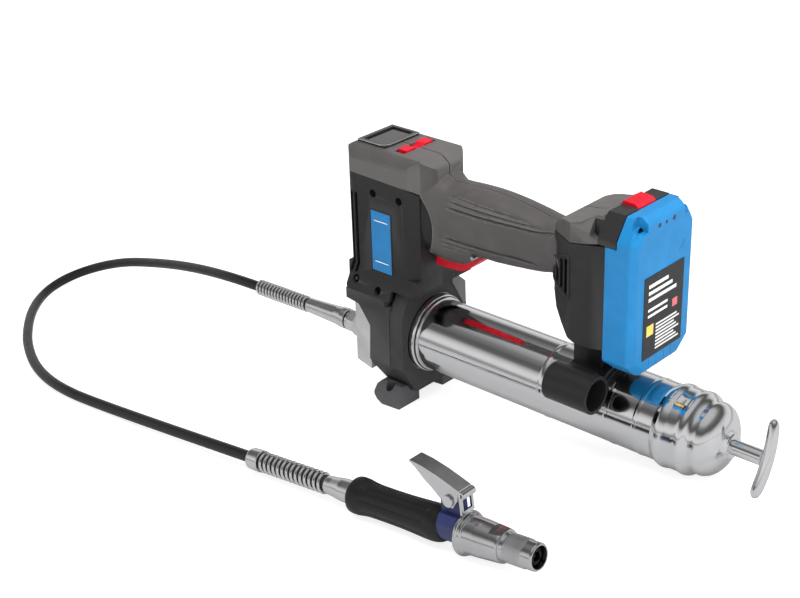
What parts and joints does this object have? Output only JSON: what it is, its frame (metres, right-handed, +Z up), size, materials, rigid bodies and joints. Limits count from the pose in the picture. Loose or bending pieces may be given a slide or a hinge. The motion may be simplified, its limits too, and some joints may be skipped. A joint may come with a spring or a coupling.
{
  "type": "grease gun",
  "caption": "Battery grease gun: a D-handled pump over a chrome barrel, with a follower rod, a slide-on battery and a flexible hose ending in a lever coupler.",
  "frame": {"origin": "on the barrel axis, at the rear face of the pump boot, where the barrel enters the gun", "axes": "+X rearward along the barrel towards the T-handle, +Z up through the handle, -Y the gun's left side"},
  "size_m": [0.7952, 0.225, 0.2683],
  "materials": {
    "light_grey_plastic": "fine moulded texture",
    "dark_grey_plastic": "fine moulded texture",
    "boot_rubber": "satin elastomer",
    "guard_plastic": "satin",
    "cast_alloy": "bead blasted casting",
    "foot_plastic": "satin",
    "blue_plate": "satin label plate",
    "black_gloss": "gloss",
    "display_glass": "gloss display window",
    "circuit_board": "solder mask",
    "red_plastic": "satin",
    "steel": "machined",
    "black_plastic": "satin",
    "lead_insulation": "insulated lead",
    "seal_rubber": "oil resistant rubber",
    "brass": "turned",
    "dark_steel": "blackened",
    "blue_plastic": "satin moulding",
    "cell_wrap": "shrink wrap",
    "label_film": "printed film",
    "chrome": "polished plating",
    "plated_steel": "zinc plated, satin",
    "spring_steel": "bright plated wire",
    "hose_rubber": "smooth extruded cover",
    "grip_rubber": "moulded grip",
    "navy_plastic": "anodised navy",
    "lever_chrome": "pressed and plated",
    "nose_chrome": "turned and plated"
  },
  "bodies": {
    "gun": {"top_shell_left": "light_grey_plastic", "top_shell_right": "light_grey_plastic", "motor_case_left": "dark_grey_plastic", "motor_case_right": "dark_grey_plastic", "boot_front": "boot_rubber", "boot_rear": "boot_rubber", "side_guard": "guard_plastic", "pump_head": "cast_alloy", "foot_left": "foot_plastic", "foot_right": "foot_plastic", "name_plates": "blue_plate", "display_bezel": "black_gloss", "display_window": "display_glass", "display_board": "circuit_board", "trigger_pin": "steel", "trigger_switch": "black_plastic", "power_leads": "lead_insulation", "control_board": "circuit_board", "motor_can": "steel", "gear_frame": "cast_alloy", "gear_bearings": "steel", "plunger_seal": "seal_rubber", "check_spring": "steel", "housing_screws": "dark_steel", "battery_foot_left": "dark_grey_plastic", "battery_foot_right": "dark_grey_plastic", "terminal_block": "black_plastic", "hose_holder": "black_plastic", "outlet_fitting": "plated_steel", "hose_ferrules": "plated_steel", "hose_guards": "spring_steel", "grease_hose": "hose_rubber", "coupler_grip": "grip_rubber", "coupler_block": "navy_plastic", "lever_pin": "plated_steel", "coupler_nose": "nose_chrome"},
    "barrel": {"barrel_tube": "chrome", "barrel_collar": "chrome", "barrel_seal": "seal_rubber", "follower_spring": "steel"},
    "cap": {"barrel_cap": "chrome"},
    "follower": {"follower_cup": "seal_rubber"},
    "rod": {"follower_rod": "chrome", "t_handle": "chrome"},
    "trigger": {"trigger": "red_plastic"},
    "speed_switch": {"speed_switch": "red_plastic"},
    "battery": {"battery_case": "blue_plastic", "battery_front": "light_grey_plastic", "battery_cells": "cell_wrap", "battery_label": "label_film"},
    "battery_latch": {"battery_latch": "red_plastic"},
    "motor_shaft": {"motor_pinion": "steel"},
    "idler": {"idler_gear": "steel"},
    "crank": {"crank_gear": "steel"},
    "plunger": {"plunger": "steel"},
    "check_ball": {"check_ball": "steel"},
    "vent_valve": {"vent_valve": "brass"},
    "coupler_lever": {"coupler_lever": "lever_chrome"},
    "coupler_jaws": {"nozzle_jaws": "dark_steel"}
  },
  "joints": [
    {"name": "barrel_turn", "type": "hinge", "parent": "gun", "child": "barrel", "pos_m": [0, 0, 0], "axis": [1, 0, 0], "continuous": true},
    {"name": "cap_turn", "type": "hinge", "parent": "barrel", "child": "cap", "pos_m": [0.23, 0, 0], "axis": [1, 0, 0], "continuous": true},
    {"name": "follower_pull", "type": "slide", "parent": "barrel", "child": "follower", "axis": [1, 0, 0], "range_m": [0, 0.19], "deforming": ["follower_spring"]},
    {"name": "rod_turn", "type": "hinge", "parent": "follower", "child": "rod", "pos_m": [0.15, 0, 0], "axis": [1, 0, 0], "continuous": true},
    {"name": "trigger_press", "type": "hinge", "parent": "gun", "child": "trigger", "pos_m": [0.052, 0, 0.085], "axis": [0, 1, 0], "range_deg": [0, 5]},
    {"name": "speed_slide", "type": "slide", "parent": "gun", "child": "speed_switch", "axis": [0, 1, 0], "range_m": [-0.003, 0.003]},
    {"name": "battery_lift", "type": "slide", "parent": "gun", "child": "battery", "axis": [0, 0, 1], "range_m": [0, 0.135]},
    {"name": "latch_press", "type": "slide", "parent": "battery", "child": "battery_latch", "axis": [0, 0, -1], "range_m": [0, 0.002]},
    {"name": "crank_spin", "type": "hinge", "parent": "gun", "child": "crank", "pos_m": [-0.042, 0, 0.066], "axis": [1, 0, 0], "continuous": true},
    {"name": "idler_spin", "type": "hinge", "parent": "gun", "child": "idler", "pos_m": [-0.05, 0, 0.094], "axis": [1, 0, 0], "continuous": true},
    {"name": "motor_spin", "type": "hinge", "parent": "gun", "child": "motor_shaft", "pos_m": [-0.05, 0, 0.119], "axis": [1, 0, 0], "continuous": true},
    {"name": "plunger_stroke", "type": "slide", "parent": "gun", "child": "plunger", "axis": [0, 0, 1], "range_m": [-0.004, 0.004]},
    {"name": "check_lift", "type": "slide", "parent": "gun", "child": "check_ball", "axis": [-1, 0, 0], "range_m": [0, 0.0015]},
    {"name": "vent_press", "type": "slide", "parent": "gun", "child": "vent_valve", "axis": [0, -1, 0], "range_m": [0, 0.0015]},
    {"name": "lever_squeeze", "type": "hinge", "parent": "gun", "child": "coupler_lever", "pos_m": [0.16402, -0.17, 0.00165], "axis": [0, -1, 0], "range_deg": [0, 25]},
    {"name": "jaw_feed", "type": "slide", "parent": "gun", "child": "coupler_jaws", "axis": [0.9925, 0, 0.1219], "range_m": [0, 0.003]}
  ],
  "couplings": [
    {"joint": "idler_spin", "follows": "crank_spin", "ratio": -3.6667},
    {"joint": "motor_spin", "follows": "crank_spin", "ratio": 14.667},
    {"joint": "jaw_feed", "follows": "lever_squeeze", "m_per_rad": 0.0068755}
  ]
}
